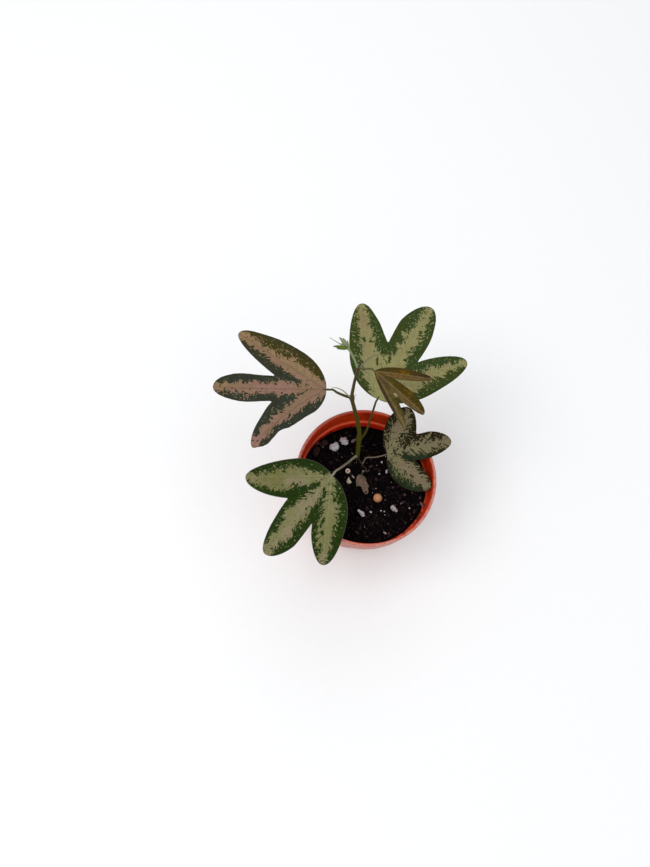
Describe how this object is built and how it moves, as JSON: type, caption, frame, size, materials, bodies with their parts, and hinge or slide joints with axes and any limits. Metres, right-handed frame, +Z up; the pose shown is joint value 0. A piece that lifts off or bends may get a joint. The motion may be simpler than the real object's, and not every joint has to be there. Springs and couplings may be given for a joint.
{
  "type": "potted passion flower vine",
  "caption": "Young passion flower vine with lobed variegated leaves and tendrils, growing in a small round terracotta-coloured plastic nursery pot filled with soil.",
  "frame": {"origin": "centre of the pot's flat foot", "axes": "+Z up along the pot's axis, +X to the side of the small low right-hand leaf, +Y to the back of the plant, away from the picture's viewer"},
  "size_m": [0.093, 0.095, 0.1043],
  "materials": {
    "pot": "satin terracotta-coloured plastic",
    "soil": "dark moist potting soil",
    "stem": "smooth olive green stem",
    "shoot": "pale grey-green downy shoot",
    "leaf_pink": "matt leaf, pinkish band along each lobe",
    "leaf_silver": "matt leaf, silvery green band along each lobe",
    "leaf_khaki": "satin leaf, khaki band along each lobe",
    "leaf_dark": "matt dark leaf, speckled khaki band along each lobe",
    "leaf_young": "matt brown-olive young leaf",
    "dead_leaf": "dry grey-brown leaf scrap",
    "perlite": "matt white porous grain",
    "bark": "rough reddish-brown chip",
    "prill": "smooth fertiliser grain"
  },
  "bodies": {
    "root": {"pot": "pot", "soil": "soil", "vine_stem": "stem", "shoot_tip": "shoot", "leaf_left": "leaf_pink", "leaf_back_right": "leaf_silver", "leaf_front_left": "leaf_khaki", "leaf_right_low": "leaf_dark", "leaf_young": "leaf_young", "dead_leaf": "dead_leaf", "perlite_back_left": "perlite", "perlite_back": "perlite", "perlite_front": "perlite", "perlite_right": "perlite", "perlite_shard": "perlite", "bark_left": "bark", "bark_back_left": "bark", "prill_tan": "prill", "prill_pale": "prill"}
  },
  "joints": []
}
